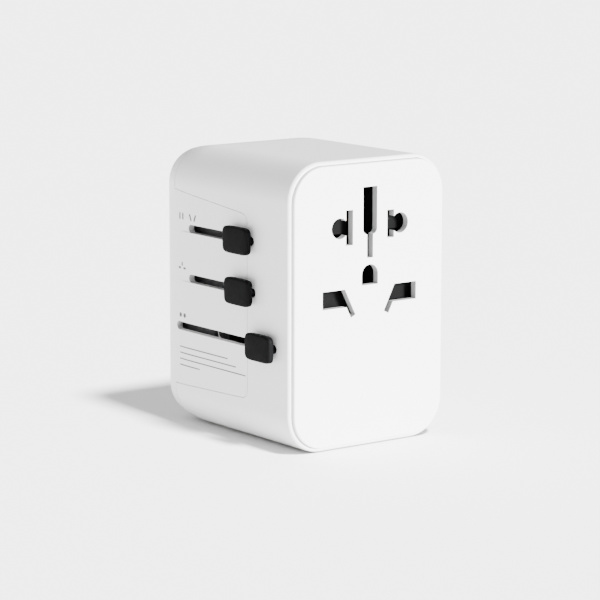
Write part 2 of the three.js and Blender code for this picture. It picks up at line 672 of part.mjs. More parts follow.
// A folded strip: a back plate with a split sleeve for EU pins and leaves for US and UK pins.
function socketContact(side) {
  const back = BLOCK_REAR - 1.2 - GAP;
  const front = back - 10;
  const inner = back - SHEET;
  const x = side * EU_PITCH / 2;
  const plate = sideBox(side, 5, 14.9, inner, back, SOCKET_Z - 22, SOCKET_Z + 5.2);
  const sleeve = cut(
    rodY(x, SOCKET_Z, 3, front, back, 20),
    rodY(x, SOCKET_Z, 2.45, front - 1, inner, 20),
    sideBox(side, 10.5, 13.5, front - 1, inner, SOCKET_Z - 0.4, SOCKET_Z + 0.4),
    sideBox(side, 4, 7.6, front - 1, inner, SOCKET_Z - 4, SOCKET_Z + 4));
  const usLeaf = sideBox(side, 5, 5 + SHEET, front, back, SOCKET_Z - 3, SOCKET_Z + 3);
  const ukMiddle = SOCKET_Z + (UK_SLOT_TOP + UK_SLOT_FOOT) / 2;
  const ukLeaves = [-2.3, 2.3].map((offset) => sideBox(side, 8.6, 14.4, front, back,
    ukMiddle + offset - SHEET / 2, ukMiddle + offset + SHEET / 2));
  return union(plate, sleeve, usLeaf, ...ukLeaves);
}

// A comb behind the contact block, with one spring finger beside each plug's path.
function busBar(side) {
  const y0 = BLOCK_REAR + GAP;
  const y1 = y0 + SHEET;
  const tip = 50;
  const out = 18.4;
  const usLow = US_ROW.z - 3.4;
  const usHigh = US_ROW.z + 0.7;
  const euLow = EU_PLUG_Z - 3.9;
  const upright = sideBox(side, out - 0.9, out, y0, y1, euLow, usHigh);
  const branch = sideBox(side, 11.6, out, y0, y1, usLow, usHigh);
  const usFinger = sideBox(side, 11.6, 12.3, y0, tip, usLow + 0.4, usHigh - 0.4);
  const ukFinger = sideBox(side, out - 0.9, out - 0.2, y0, tip, UK_PIN_Z - 1.8, UK_PIN_Z + 1.8);
  const euFinger = sideBox(side, out - 0.7, out, y0, tip, euLow, euLow + 4);
  return union(upright, branch, usFinger, ukFinger, euFinger);
}

// Two pairs of sloped flaps in a frame. A plug's pins push the slopes, and so the flaps, down.
function safetyShutter() {
  const y0 = SHUTTER_FRONT;
  const y1 = SHUTTER_FRONT + SHUTTER_T;
  const flapIn = 4.6;
  const flapOut = SHUTTER_HALF - 1.2;
  const ukFoot = SOCKET_Z + UK_SLOT_FOOT - 0.3;
  const flap = (side, foot, backTop, top) => alongX(
    polygon([[y0, foot], [y1 + 3, foot], [y1 + 3, backTop], [y0, top]]),
    Math.min(side * flapIn, side * flapOut), Math.max(side * flapIn, side * flapOut));
  const top = SOCKET_Z + 3.4;
  const sides = [-1, 1].map((side) => union(
    flap(side, top - 5.4, top - 4, top),
    flap(side, ukFoot, SOCKET_Z + UK_SLOT_TOP - 3, SOCKET_Z + UK_SLOT_TOP + 0.4),
    sideBox(side, flapOut, SHUTTER_HALF, y0, y1, SHUTTER_FOOT, top)));
  const foot = box(-SHUTTER_HALF, SHUTTER_HALF, y0, y1, SHUTTER_FOOT, SHUTTER_FOOT + 2.3);
  return union(...sides, foot);
}

// A coil of round wire that stands on its seat and lifts the shutter.
function shutterSpring() {
  const rise = SHUTTER_FOOT - GAP - SPRING_LOW - 2 * SPRING_WIRE_R - 0.2;
  const perTurn = 10;
  const steps = SPRING_TURNS * perTurn;
  const points = Array.from({ length: steps + 1 }, (_, i) => {
    const angle = (i / perTurn) * 2 * Math.PI;
    const z = SPRING_LOW + SPRING_WIRE_R + 0.1 + rise * (i / steps);
    return new THREE.Vector3(SPRING_R * Math.cos(angle), SPRING_R * Math.sin(angle), z);
  });
  const wire = new THREE.Shape();
  wire.absarc(0, 0, SPRING_WIRE_R, 0, 2 * Math.PI);
  const geometry = new THREE.ExtrudeGeometry(wire, {
    steps, extrudePath: new THREE.CatmullRomCurve3(points), curveSegments: 3, bevelEnabled: false,
  });
  geometry.translate(0, SHUTTER_FRONT + SPRING_R, 0);
  return toSolid(geometry);
}

blackPlastic('contact_block', contactBlock());
brass('live_contact', socketContact(1));
brass('neutral_contact', socketContact(-1));
brass('live_bus', busBar(1));
brass('neutral_bus', busBar(-1));
blackPlastic('safety_shutter', safetyShutter());
steel('shutter_spring', shutterSpring());

// ---------------------------------------------------------------- fuse

function fuseClip(y0) {
  const { x, z, r } = FUSE;
  const outer = rodY(x, z, r + 0.9, y0, y0 + 4, 20);
  const inner = rodY(x, z, r + 0.4, y0 - 1, y0 + 5, 20);
  const mouth = box(x - 1.6, x + 1.6, y0 - 1, y0 + 5, z, z + 5);
  const foot = box(x - 3.2, x + 3.2, y0, y0 + 4, z - r - 1.5, z - r - 0.6);
  return union(cut(outer, inner, mouth), foot);
}

// A thin cup over one end of the tube, closed at depth y0 and open towards y1.
function fuseCap(y0, y1) {
  const { x, z, r } = FUSE;
  const base = y0 + 0.5 * Math.sign(y1 - y0);
  const outer = rodY(x, z, r, Math.min(y0, y1), Math.max(y0, y1), 20);
  const inner = rodY(x, z, r - 0.4, Math.min(base, y1 + 1), Math.max(base, y1 + 1), 20);
  const innerBack = rodY(x, z, r - 0.4, Math.min(base, y1 - 1), Math.max(base, y1 - 1), 20);
  return y1 > y0 ? cut(outer, inner) : cut(outer, innerBack);
}

ceramic('fuse_tube', rodY(FUSE.x, FUSE.z, FUSE.r - 0.4 - GAP, FUSE.front + 0.5 + GAP,
  FUSE.rear - 0.5 - GAP, 20));
nickel('fuse_cap_front', fuseCap(FUSE.front, FUSE.front + FUSE.cap));
nickel('fuse_cap_rear', fuseCap(FUSE.rear, FUSE.rear - FUSE.cap));
brass('fuse_clip_front', fuseClip(FUSE.front + 1));
brass('fuse_clip_rear', fuseClip(FUSE.rear - 5));

export default adapter;
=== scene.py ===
"""Universal travel adapter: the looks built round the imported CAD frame."""

import json
import math

import bmesh
import bpy
from mathutils import Matrix, Vector


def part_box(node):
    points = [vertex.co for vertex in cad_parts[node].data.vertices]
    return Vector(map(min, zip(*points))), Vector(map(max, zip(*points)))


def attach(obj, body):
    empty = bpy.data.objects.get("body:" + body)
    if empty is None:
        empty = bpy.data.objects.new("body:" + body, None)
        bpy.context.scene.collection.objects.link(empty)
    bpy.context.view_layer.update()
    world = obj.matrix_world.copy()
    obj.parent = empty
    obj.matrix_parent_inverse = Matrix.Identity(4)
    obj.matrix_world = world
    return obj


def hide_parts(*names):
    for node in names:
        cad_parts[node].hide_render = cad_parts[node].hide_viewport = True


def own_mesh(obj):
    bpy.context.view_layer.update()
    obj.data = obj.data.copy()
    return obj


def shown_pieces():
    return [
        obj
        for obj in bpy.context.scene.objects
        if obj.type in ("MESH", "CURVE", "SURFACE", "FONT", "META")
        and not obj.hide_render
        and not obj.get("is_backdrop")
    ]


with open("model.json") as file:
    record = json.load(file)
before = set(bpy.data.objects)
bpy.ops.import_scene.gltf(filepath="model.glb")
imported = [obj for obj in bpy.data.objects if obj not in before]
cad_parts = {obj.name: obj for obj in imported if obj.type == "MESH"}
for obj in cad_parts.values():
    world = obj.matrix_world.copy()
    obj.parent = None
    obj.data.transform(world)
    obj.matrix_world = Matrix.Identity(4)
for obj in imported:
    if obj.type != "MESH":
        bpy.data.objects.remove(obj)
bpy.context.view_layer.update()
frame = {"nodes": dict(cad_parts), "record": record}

# ---------------------------------------------------------------- dimensions
# Lengths are millimetres. A depth is measured from the socket face towards the back,
# a height from the floor, and x from the middle, with the slider knobs on the -x side.
# A cutter runs PAST what it cuts.
MM = 0.001
PAST = 1


def node_box(node):
    low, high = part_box(node)
    return Vector(low) / MM, Vector(high) / MM


SHELL_LOW, SHELL_HIGH = node_box("main_shell")
FACE_LOW, FACE_HIGH = node_box("front_cover")
BACK_HIGH = node_box("rear_cover")[1]

WIDTH = SHELL_HIGH.x - SHELL_LOW.x
HEIGHT = SHELL_HIGH.z
FRONT_Y = FACE_LOW.y
DEPTH = BACK_HIGH.y - FRONT_Y
CORNER_R = 10
WALL = 1.9
FACE_PLATE = 1.9
SHELL_FRONT = SHELL_LOW.y - FRONT_Y
FACE_INSET = SHELL_HIGH.x - FACE_HIGH.x
SHELL_FILLET = 0.9
FACE_RIM = 0.4
REBATE_DEPTH = 2.1
SEAM_DEPTH = 51.2
SEAM_GAP = 0.12
REAR_ROUND_DEPTH = 13
REAR_ROUND_INSET = 3.1
HOLLOW_ROUND_DEPTH = 5

SOCKET_Z = 56.1
EU_PITCH = 19
EU_HOLE_R = 2.6

SOCKET_HALF = 16
SOCKET_LOW = SOCKET_Z - 23
SOCKET_HIGH = SOCKET_Z + 11
# walls deeper than this inside an opening are given the painted shade
SHADE_FROM_DEPTH = 0.3

SLOT_H = 2.2
ROWS = {
    "us": {"z": 52.3, "front": 15.5, "rear": 44.5},
    "uk": {"z": 39.35, "front": 14.9, "rear": 44.4},
    "eu": {"z": 26.35, "front": 6, "rear": 50.3},
}
RECESS_DEPTH = 0.2
RECESS_REAR = 50.3
GAP = 0.3

CAP_LENGTH = 10.6
CAP_THICK = 1.7
CAP_SETBACK = 0.8
STEM_LENGTH = 5.6

TONGUE_FRONT = 18.5
TONGUE_TOP_FRONT, TONGUE_TOP_REAR = 58.9, 62.3
TONGUE_FOOT_FRONT, TONGUE_FOOT_REAR = 12, 10.8
TONGUE_R = 2.2

POST_R = 2.9
POST_X = 18
POST_INSET = 6.7
POST_LENGTH = 46
SCREW_RECESS = 3.4
SCREW_HEAD_R = 2.3
SCREW_HOLE_R = 1.6
SCREW_BORE_R = 1.4
SCREW_BORE_LENGTH = 12

US_PITCH = 12.7
US_BLADE = (1.55, 6.35)
US_TWIST = 30
UK_PITCH = 22.2
UK_PIN_Z = 34.7
UK_PIN = (6.3, 4)
UK_EARTH_Z = 56.9
UK_EARTH = (4, 8)
EU_PLUG_Z = 23.4
EU_PLUG_HALF = (17, 6.7)
EU_PLUG_SLOPE = 4.5
PIN_CLEARANCE = 0.4


# ---------------------------------------------------------------- mesh helpers
def place(x, depth, z):
    return Vector((x, FRONT_Y + depth, z)) * MM


def arc(cx, cy, r, start, end, steps):
    angles = [math.radians(start + (end - start) * i / steps) for i in range(steps + 1)]
    return [(cx + r * math.cos(a), cy + r * math.sin(a)) for a in angles]


def round_rect(a0, a1, b0, b1, r, steps=14):
    corners = ((a1 - r, b1 - r, 0), (a0 + r, b1 - r, 90), (a0 + r, b0 + r, 180), (a1 - r, b0 + r, 270))
    return [p for cx, cy, start in corners for p in arc(cx, cy, r, start, start + 90, steps)]


def body_outline(inset):
    half = WIDTH / 2 - inset
    return round_rect(-half, half, inset, HEIGHT - inset, CORNER_R - inset)


def new_object(name, points, faces):
    mesh = bpy.data.meshes.new(name)
    mesh.from_pydata([tuple(p) for p in points], [], faces)
    mesh.validate()
    made = bpy.data.objects.new(name, mesh)
    bpy.context.scene.collection.objects.link(made)
    work = bmesh.new()
    work.from_mesh(mesh)
    bmesh.ops.recalc_face_normals(work, faces=work.faces)
    work.to_mesh(mesh)
    work.free()
    return made


def loft(name, rings, looped=False):
    """Joins rings of equal point counts. Looped, the last joins the first; else the ends are capped."""
    count = len(rings[0])
    points = [p for ring in rings for p in ring]
    total = len(rings)
    faces = []
    for i in range(total if looped else total - 1):
        a, b = i * count, (i + 1) % total * count
        faces += [(a + j, a + (j + 1) % count, b + (j + 1) % count, b + j) for j in range(count)]
    if not looped:
        faces += [tuple(range(count)), tuple(range((total - 1) * count, total * count))]
    return new_object(name, points, faces)


def prism_y(outline, depth0, depth1):
    """An outline of (x, z) points run from one depth to another."""
    return loft("cutter", [[place(x, d, z) for x, z in outline] for d in (depth0, depth1)])


def prism_x(outline, x0, x1):
    """An outline of (depth, z) points run from one x to another."""
    return loft("cutter", [[place(x, d, z) for d, z in outline] for x in (x0, x1)])


def block(x0, x1, d0, d1, z0, z1):
    return prism_y([(x0, z0), (x1, z0), (x1, z1), (x0, z1)], d0, d1)


def rod_y(x, z, r, depth0, depth1, sides=32):
    return prism_y(arc(x, z, r, 0, 360, sides)[:-1], depth0, depth1)


def settle(obj):
    """Makes the modifiers' result the object's own mesh."""
    graph = bpy.context.evaluated_depsgraph_get()
    mesh = bpy.data.meshes.new_from_object(obj.evaluated_get(graph))
    obj.modifiers.clear()
    obj.data = mesh


def combine(obj, others, operation):
    for other in others:
        step = obj.modifiers.new("combine", "BOOLEAN")
        step.operation = operation
        step.solver = "EXACT"
        step.object = other
        settle(obj)
        bpy.data.objects.remove(other)
    return obj


def cut(obj, *others):
    return combine(obj, others, "DIFFERENCE")


def join(obj, *others):
    return combine(obj, others, "UNION")


def keep_inside(obj, other):
    return combine(obj, [other], "INTERSECT")


def copy_of(obj):
    made = obj.copy()
    made.data = obj.data.copy()
    bpy.context.scene.collection.objects.link(made)
    return made


def soften(obj, width, weld=0.01):
    """Cleans the mesh, then rounds its sharp edges and shades the rest smooth."""
    work = bmesh.new()
    work.from_mesh(obj.data)
    bmesh.ops.remove_doubles(work, verts=work.verts, dist=weld * MM)
    bmesh.ops.dissolve_limit(work, angle_limit=math.radians(0.3), verts=work.verts, edges=work.edges)
    bmesh.ops.dissolve_degenerate(work, dist=weld * MM, edges=work.edges)
    bmesh.ops.recalc_face_normals(work, faces=work.faces)
    work.to_mesh(obj.data)
    work.free()
    obj.data.shade_smooth()
    bevel = obj.modifiers.new("edges", "BEVEL")
    bevel.width = width * MM
    bevel.segments = 2
    bevel.limit_method = "ANGLE"
    bevel.angle_limit = math.radians(35)
    bevel.use_clamp_overlap = True
    bevel.harden_normals = True
    normals = obj.modifiers.new("normals", "WEIGHTED_NORMAL")
    normals.keep_sharp = True
    normals.weight = 100


# ---------------------------------------------------------------- materials
def tint(colour, factor):
    return tuple(c * factor for c in colour)


def finish_material(name, colour, roughness, metallic=0.0, grain=0.12, bump=0.05, variation=0.03,
                    stretch=(1, 1, 1), spread=0.05, specular=0.5):
    """A moulded or plated surface: fine grain in the bump, with uneven colour and roughness.

    grain is the size of the grain in millimetres, and stretch draws it out into brushed lines.
    """
    material = bpy.data.materials.new(name)
    material.use_nodes = True
    nodes, links = material.node_tree.nodes, material.node_tree.links
    shader = nodes["Principled BSDF"]
    shader.inputs["Metallic"].default_value = metallic
    shader.inputs["Specular IOR Level"].default_value = specular
    coords = nodes.new("ShaderNodeTexCoord")
    mapping = nodes.new("ShaderNodeMapping")
    mapping.inputs["Scale"].default_value = stretch
    links.new(coords.outputs["Object"], mapping.inputs["Vector"])

    def noise(size, detail):
        made = nodes.new("ShaderNodeTexNoise")
        made.inputs["Scale"].default_value = 1 / (size * MM)
        made.inputs["Detail"].default_value = detail
        links.new(mapping.outputs["Vector"], made.inputs["Vector"])
        return made.outputs["Fac"]

    def ramp(source, low, high):
        made = nodes.new("ShaderNodeMapRange")
        made.inputs["From Min"].default_value = 0.3
        made.inputs["From Max"].default_value = 0.7
        made.inputs["To Min"].default_value = low
        made.inputs["To Max"].default_value = high
        links.new(source, made.inputs["Value"])
        return made.outputs["Result"]

    mottle = noise(14, 3)
    fine = noise(grain, 2)
    mix = nodes.new("ShaderNodeMix")
    mix.data_type = "RGBA"
    mix.inputs["A"].default_value = (*tint(colour, 1 - variation), 1)
    mix.inputs["B"].default_value = (*tint(colour, 1 + variation), 1)
    blend = nodes.new("ShaderNodeMath")
    blend.operation = "MULTIPLY_ADD"
    blend.inputs[1].default_value = 0.35
    links.new(fine, blend.inputs[0])
    links.new(ramp(mottle, 0, 0.65), blend.inputs[2])
    links.new(blend.outputs["Value"], mix.inputs["Factor"])
    links.new(mix.outputs["Result"], shader.inputs["Base Color"])
    uneven = ramp(noise(grain * 6, 3), roughness - spread, roughness + spread)
    links.new(uneven, shader.inputs["Roughness"])
    relief = nodes.new("ShaderNodeBump")
    relief.inputs["Strength"].default_value = bump
    relief.inputs["Distance"].default_value = grain * MM * 0.4
    links.new(fine, relief.inputs["Height"])
    links.new(relief.outputs["Normal"], shader.inputs["Normal"])
    return material


MATERIALS = {
    "white_plastic": finish_material(
        "white_plastic", (0.70, 0.70, 0.70), 0.42, grain=0.22, bump=0.22, variation=0.012),
    # a darker grey for the walls inside openings: painted shade, not a different plastic
    "painted_shade_white": finish_material(
        "painted_shade_white", (0.36, 0.36, 0.36), 0.5, grain=0.2, bump=0.12, variation=0.015, specular=0.3),
    "knob_plastic": finish_material(
        "knob_plastic", (0.004, 0.004, 0.0042), 0.5, grain=0.16, bump=0.3, variation=0.12, specular=0.015),
    "black_plastic": finish_material(
        "black_plastic", (0.004, 0.004, 0.0041), 0.45, grain=0.2, bump=0.25, variation=0.12, specular=0.03),
    "grey_plastic": finish_material(
        "grey_plastic", (0.12, 0.12, 0.122), 0.5, grain=0.2, bump=0.25, variation=0.08, specular=0.06),
    "nickel_plate": finish_material(
        "nickel_plate", (0.44, 0.43, 0.41), 0.28, metallic=1, grain=0.5, bump=0.12, variation=0.03,
        stretch=(6, 0.5, 6)),
    "contact_brass": finish_material(
        "contact_brass", (0.50, 0.34, 0.14), 0.32, metallic=1, grain=0.5, bump=0.15, variation=0.06,
        stretch=(5, 0.6, 5)),
    "screw_steel": finish_material(
        "screw_steel", (0.34, 0.34, 0.35), 0.34, metallic=1, grain=0.25, bump=0.2, variation=0.06),
    "spring_steel": finish_material(
        "spring_steel", (0.38, 0.38, 0.38), 0.3, metallic=1, grain=0.2, bump=0.15, variation=0.05),
    "fuse_ceramic": finish_material(
        "fuse_ceramic", (0.74, 0.72, 0.67), 0.6, grain=0.3, bump=0.3, variation=0.04),
}
PRINT = finish_material("print_ink", (0.04, 0.04, 0.04), 0.55, grain=0.15, bump=0.1, variation=0.08)
SLOT_OF = {part["node"]: part["material_slot"] for part in frame["record"]["subparts"]}
BODY_OF = {node: body for body, nodes in frame["record"]["behaviour"]["bodies"].items() for node in nodes}


def dress(obj, body, slot, material=None):
    obj.data.materials.clear()
    obj.data.materials.append(material or MATERIALS[slot])
    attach(obj, body)


def stand_for(obj, node):
    dress(obj, BODY_OF[node], SLOT_OF[node])
    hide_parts(node)


# ---------------------------------------------------------------- housing
def quarter(steps):
    return [math.pi / 2 * i / steps for i in range(steps + 1)]


def outer_profile():
    """The outer skin, from the shell's front edge to the back face, as (depth, inset) pairs."""
    fillet = [(SHELL_FRONT + SHELL_FILLET * (1 - math.sin(a)), SHELL_FILLET * (1 - math.cos(a)))
              for a in quarter(5)]
    rear_start = DEPTH - REAR_ROUND_DEPTH
    rear = [(rear_start + REAR_ROUND_DEPTH * math.sin(a), REAR_ROUND_INSET * (1 - math.cos(a)))
            for a in quarter(16)]
    return sorted(fillet + rear)


def ring(depth, inset):
    return [place(x, depth, z) for x, z in body_outline(inset)]


def skin():
    """The whole outside as one closed form."""
    return loft("skin", [ring(d, i) for d, i in outer_profile()])


def hollow():
    """The room inside: straight to near the back, then drawn in."""
    rear_start = DEPTH - WALL - HOLLOW_ROUND_DEPTH
    rear = [(rear_start + HOLLOW_ROUND_DEPTH * math.sin(a), WALL + REAR_ROUND_INSET * (1 - math.cos(a)))
            for a in quarter(8)]
    return loft("hollow", [ring(d, i) for d, i in [(-PAST, WALL), *rear]])


def tongue_outline(margin):
    past_seam = 4
    rear = SEAM_DEPTH + past_seam
    front, r = TONGUE_FRONT - margin, TONGUE_R + margin
    top, foot = TONGUE_TOP_FRONT + margin, TONGUE_FOOT_FRONT - margin
    upper = arc(front + r, top - r, r, 90, 180, 10)
    lower = arc(front + r, foot + r, r, 180, 270, 10)
    return [(rear, TONGUE_TOP_REAR + margin), *upper, *lower, (rear, TONGUE_FOOT_REAR - margin)]


def tongue_block(margin):
    left = -WIDTH / 2
    return prism_x(tongue_outline(margin), left - PAST, left + WALL + 0.5)


def capsule(front, rear, z, x0, x1):
    r = SLOT_H / 2
    outline = [*arc(rear - r, z, r, -90, 90, 12), *arc(front + r, z, r, 90, 270, 12)]
    return prism_x(outline, x0, x1)


def slots():
    left = -WIDTH / 2
    made = [capsule(row["front"], row["rear"], row["z"], left - PAST, left + WALL + PAST)
            for row in ROWS.values()]
    made += [capsule(row["rear"] - 2 * SLOT_H, RECESS_REAR, row["z"], left - PAST, left + RECESS_DEPTH)
             for row in (ROWS["us"], ROWS["uk"])]
    return made


def screw_places():
    return [(x, z) for x in (-POST_X, POST_X) for z in (POST_INSET, HEIGHT - POST_INSET)]


def paint_wall_shade(obj, is_wall):
    """Paints an opening's walls a darker grey: painted shade that stands in for the shade falling inside
    the opening.
    """
    obj.data.materials.append(MATERIALS["painted_shade_white"])
    for face in obj.data.polygons:
        if is_wall(face.center / MM, face.normal):
            face.material_index = 1


# The slider slots' walls, which are given the painted shade.
def in_slider_slot(centre, normal):
    depth = centre.x + WIDTH / 2
    near = any(abs(centre.z - row["z"]) <= SLOT_H / 2 for row in ROWS.values())
    return near and SHADE_FROM_DEPTH < depth < WALL and abs(normal.x) < 0.5


def main_shell():
    shell = cut(skin(), hollow())
    rebate = prism_y(body_outline(FACE_INSET - SEAM_GAP), -PAST, REBATE_DEPTH)
    behind = block(-WIDTH, WIDTH, SEAM_DEPTH, DEPTH + PAST, -PAST, HEIGHT + PAST)
    cut(shell, rebate, behind, tongue_block(SEAM_GAP), *slots())
    soften(shell, 0.1)
    shell.name = "shell_skin"
    stand_for(shell, "main_shell")
    paint_wall_shade(shell, in_slider_slot)


def pin_hole(x, z, section):
    half_w, half_h = (length / 2 + PIN_CLEARANCE for length in section)
    outline = round_rect(x - half_w, x + half_w, z - half_h, z + half_h, r=0.5, steps=4)
    return prism_y(outline, SEAM_DEPTH, DEPTH + PAST)


def bow_tie(side):
    """The opening that lets a flat blade twist, as three turned slots run together."""
    x, z = side * US_PITCH / 2, ROWS["us"]["z"]
    half_w, half_h = (length / 2 + PIN_CLEARANCE for length in US_BLADE)
    made = []
    for turn in (0, US_TWIST / 2, US_TWIST):
        spin = Matrix.Rotation(math.radians(-side * turn), 2)
        corners = [(-half_w, -half_h), (half_w, -half_h), (half_w, half_h), (-half_w, half_h)]
        outline = [spin @ Vector(c) + Vector((x, z)) for c in corners]
        made.append(prism_y(outline, SEAM_DEPTH, DEPTH + PAST))
    return made


def eu_outline():
    z, slope = EU_PLUG_Z, EU_PLUG_SLOPE
    half, tall = (length + PIN_CLEARANCE for length in EU_PLUG_HALF)
    return [(-half, z - tall + slope), (-half + slope, z - tall), (half - slope, z - tall),
            (half, z - tall + slope), (half, z + tall - slope), (half - slope, z + tall),
            (-half + slope, z + tall), (-half, z + tall - slope)]


def rear_cover():
    cover = cut(skin(), block(-WIDTH, WIDTH, -PAST, SEAM_DEPTH + SEAM_GAP, -PAST, HEIGHT + PAST))
    join(cover, keep_inside(skin(), tongue_block(0)))
    cut(cover, hollow())
    boss_front, boss_rear = POST_LENGTH + 0.5, DEPTH - 1
    bosses = [rod_y(x, z, POST_R, boss_front, boss_rear) for x, z in screw_places()]
    join(cover, *bosses)
    bores = [rod_y(x, z, SCREW_HOLE_R, POST_LENGTH, DEPTH + PAST) for x, z in screw_places()]
    heads = [rod_y(x, z, SCREW_HEAD_R, DEPTH - SCREW_RECESS, DEPTH + PAST) for x, z in screw_places()]
    pins = [pin_hole(side * UK_PITCH / 2, UK_PIN_Z, UK_PIN) for side in (-1, 1)]
    pins.append(pin_hole(0, UK_EARTH_Z, UK_EARTH))
    bay = prism_y(eu_outline(), SEAM_DEPTH, DEPTH + PAST)
    cut(cover, *bow_tie(-1), *bow_tie(1), *pins, bay, *bores, *heads, *slots())
    soften(cover, 0.1)
    cover.name = "rear_cover_skin"
    stand_for(cover, "rear_cover")
    paint_wall_shade(cover, in_slider_slot)


main_shell()
rear_cover()


# ---------------------------------------------------------------- socket face
def mirrored(outline):
    return [(-x, z) for x, z in outline]


def earth_hole():
    """The UK earth slot over the narrow AU one, joined by sloped shoulders."""
    wide, narrow = 2.2, 0.94
    foot, neck, slope_height, top = -8.05, -2.1, 1.4, 9.85
    shoulder = [(narrow + (wide - narrow) * math.sin(a), neck + slope_height * (1 - math.cos(a)))
                for a in quarter(6)]
    right = [(narrow, foot), *shoulder, (wide, top)]
    left = mirrored(reversed(right))
    return [(x, SOCKET_Z + z) for x, z in [*right, *left]]


def ground_hole():
    r, top, foot = 2.56, SOCKET_Z - 9.75, SOCKET_Z - 14.9
    return [(-r, foot), (r, foot), *arc(0, top - r, r, 0, 180, 20)]


def uk_au_hole():
    """The flat UK slot, run together with the leaning AU slot."""
    tilt, slot_w = math.radians(27), 1.6
    top, foot, au_foot = -15.43, -19.93, -22.0
    inner, outer = 7.87, 14.85
    lean, across = math.tan(tilt), slot_w / math.cos(tilt)
    tip = (inner - lean * (top - au_foot), au_foot)
    heel = (tip[0] + slot_w * math.cos(tilt), tip[1] - slot_w * math.sin(tilt))
    knee = (inner - lean * (top - foot) + across, foot)
    outline = [(inner, top), tip, heel, knee, (outer, foot), (outer, top)]
    return [(x, SOCKET_Z + z) for x, z in outline]


def socket_cutters():
    d0, d1 = -PAST, FACE_PLATE + PAST
    slot_in, slot_out = 5.42, 7.6
    made = [rod_y(side * EU_PITCH / 2, SOCKET_Z, EU_HOLE_R, d0, d1, 48) for side in (-1, 1)]
    made += [block(x0, x1, d0, d1, SOCKET_Z - half, SOCKET_Z + half)
             for x0, x1, half in ((-slot_out, -slot_in, 4.4), (slot_in, slot_out, 3.5))]
    made += [prism_y(outline, d0, d1) for outline in
             (earth_hole(), ground_hole(), uk_au_hole(), mirrored(uk_au_hole()))]
    return made


# The socket holes' walls, which are given the painted shade.
def in_socket_hole(centre, normal):
    depth = centre.y - FRONT_Y
    near = abs(centre.x) < SOCKET_HALF and SOCKET_LOW < centre.z < SOCKET_HIGH
    return near and SHADE_FROM_DEPTH < depth < FACE_PLATE and abs(normal.y) < 0.5


def front_cover():
    dish, band = 0.07, 1.15
    rim = [(dish + FACE_RIM * (1 - math.sin(a)), FACE_INSET + FACE_RIM * (1 - math.cos(a)))
           for a in quarter(6)]
    face = [(0, FACE_INSET + band), (dish * 0.8, FACE_INSET + band - 0.1)]
    profile = [*face, *reversed(rim), (FACE_PLATE, FACE_INSET)]
    cover = loft("face_plate", [ring(d, i) for d, i in profile])
    joint = FACE_PLATE - 0.2
    posts = [rod_y(x, z, POST_R, joint, POST_LENGTH) for x, z in screw_places()]
    bores = [rod_y(x, z, SCREW_BORE_R, POST_LENGTH - SCREW_BORE_LENGTH, POST_LENGTH + PAST)
             for x, z in screw_places()]
    shutter_low = node_box("safety_shutter")[0]
    guide_in, guide_out, shutter_thick = 16.8, 18, 1.6
    guide_rear = shutter_low.y - FRONT_Y + shutter_thick
    guide_foot, guide_top = shutter_low.z - 3, SOCKET_Z + 5
    guides = [block(side * guide_in, side * guide_out, joint, guide_rear, guide_foot, guide_top)
              for side in (-1, 1)]
    seat_half, seat_rear, seat_thick = 3.4, 8.4, 1.7
    seat_top = node_box("shutter_spring")[0].z - 0.2
    seat = block(-seat_half, seat_half, joint, seat_rear, seat_top - seat_thick, seat_top)
    join(cover, *posts, *guides, seat)
    cut(cover, *bores, *socket_cutters())
    soften(cover, 0.13)
    stand_for(cover, "front_cover")
    paint_wall_shade(cover, in_socket_hole)


front_cover()


# ---------------------------------------------------------------- slider knobs
def squircle(half_a, half_b, power, steps=64):
    outline = []
    for i in range(steps):
        angle = 2 * math.pi * (i + 0.5) / steps
        c, s = math.cos(angle), math.sin(angle)
        outline.append((half_a * math.copysign(abs(c) ** (2 / power), c),
                        half_b * math.copysign(abs(s) ** (2 / power), s)))
    return outline


def knob(node):
    low, high = node_box(node)
    row = ROWS[node[:2]]
    half_d, half_z = CAP_LENGTH / 2, (high.z - low.z) / 2
    front = row["front"] + GAP
    mid_depth = front - CAP_SETBACK + half_d
    outer_round, inner_round, crown = 0.55, 0.25, 0.12
    inner_x = low.x + CAP_THICK
    profile = [(inner_x - inner_round * (1 - math.cos(a)), inner_round * (1 - math.sin(a)))
               for a in quarter(3)]
    profile += [(low.x + crown + outer_round * (1 - math.sin(a)), outer_round * (1 - math.cos(a)))
                for a in quarter(6)]
    rings = []
    for x, inset in profile:
        outline = squircle(half_d - inset, half_z - inset, 6)
        rings.append([place(x, mid_depth + d, row["z"] + z) for d, z in outline])
    for step in range(1, 6):
        t = step / 6
        scale_d, scale_z = (half_d - outer_round) * (1 - t), (half_z - outer_round) * (1 - t)
        x = low.x + crown * (1 - t) ** 2
        outline = squircle(scale_d, scale_z, 6 - 3 * t)
        rings.append([place(x, mid_depth + d, row["z"] + z) for d, z in outline])
    cap = loft("cap", rings)
    r = SLOT_H / 2 - GAP
    rear = front + STEM_LENGTH
    stem_outline = [*arc(rear - r, row["z"], r, -90, 90, 10), *arc(front + r, row["z"], r, 90, 270, 10)]
    overlap, plate_half, plate_thick = 0.6, 3, 0.9
    stem = prism_x(stem_outline, inner_x - overlap, high.x - overlap)
    plate_outline = round_rect(front, rear + overlap, row["z"] - plate_half, row["z"] + plate_half,
                               r=0.4, steps=4)
    plate = prism_x(plate_outline, high.x - plate_thick, high.x)
    join(cap, stem, plate)
    soften(cap, 0.08, weld=0.002)
    cap.name = node + "_cap"
    stand_for(cap, node)


for knob_node in ("us_knob", "uk_knob", "eu_knob"):
    knob(knob_node)


# ---------------------------------------------------------------- printed marks
FILM = 0.02


def side_x(depth):
    """Where the slider side's skin lies, which draws in towards the back."""
    past = max(0, depth - (DEPTH - REAR_ROUND_DEPTH)) / REAR_ROUND_DEPTH
    return -WIDTH / 2 + REAR_ROUND_INSET * (1 - math.sqrt(1 - past * past))


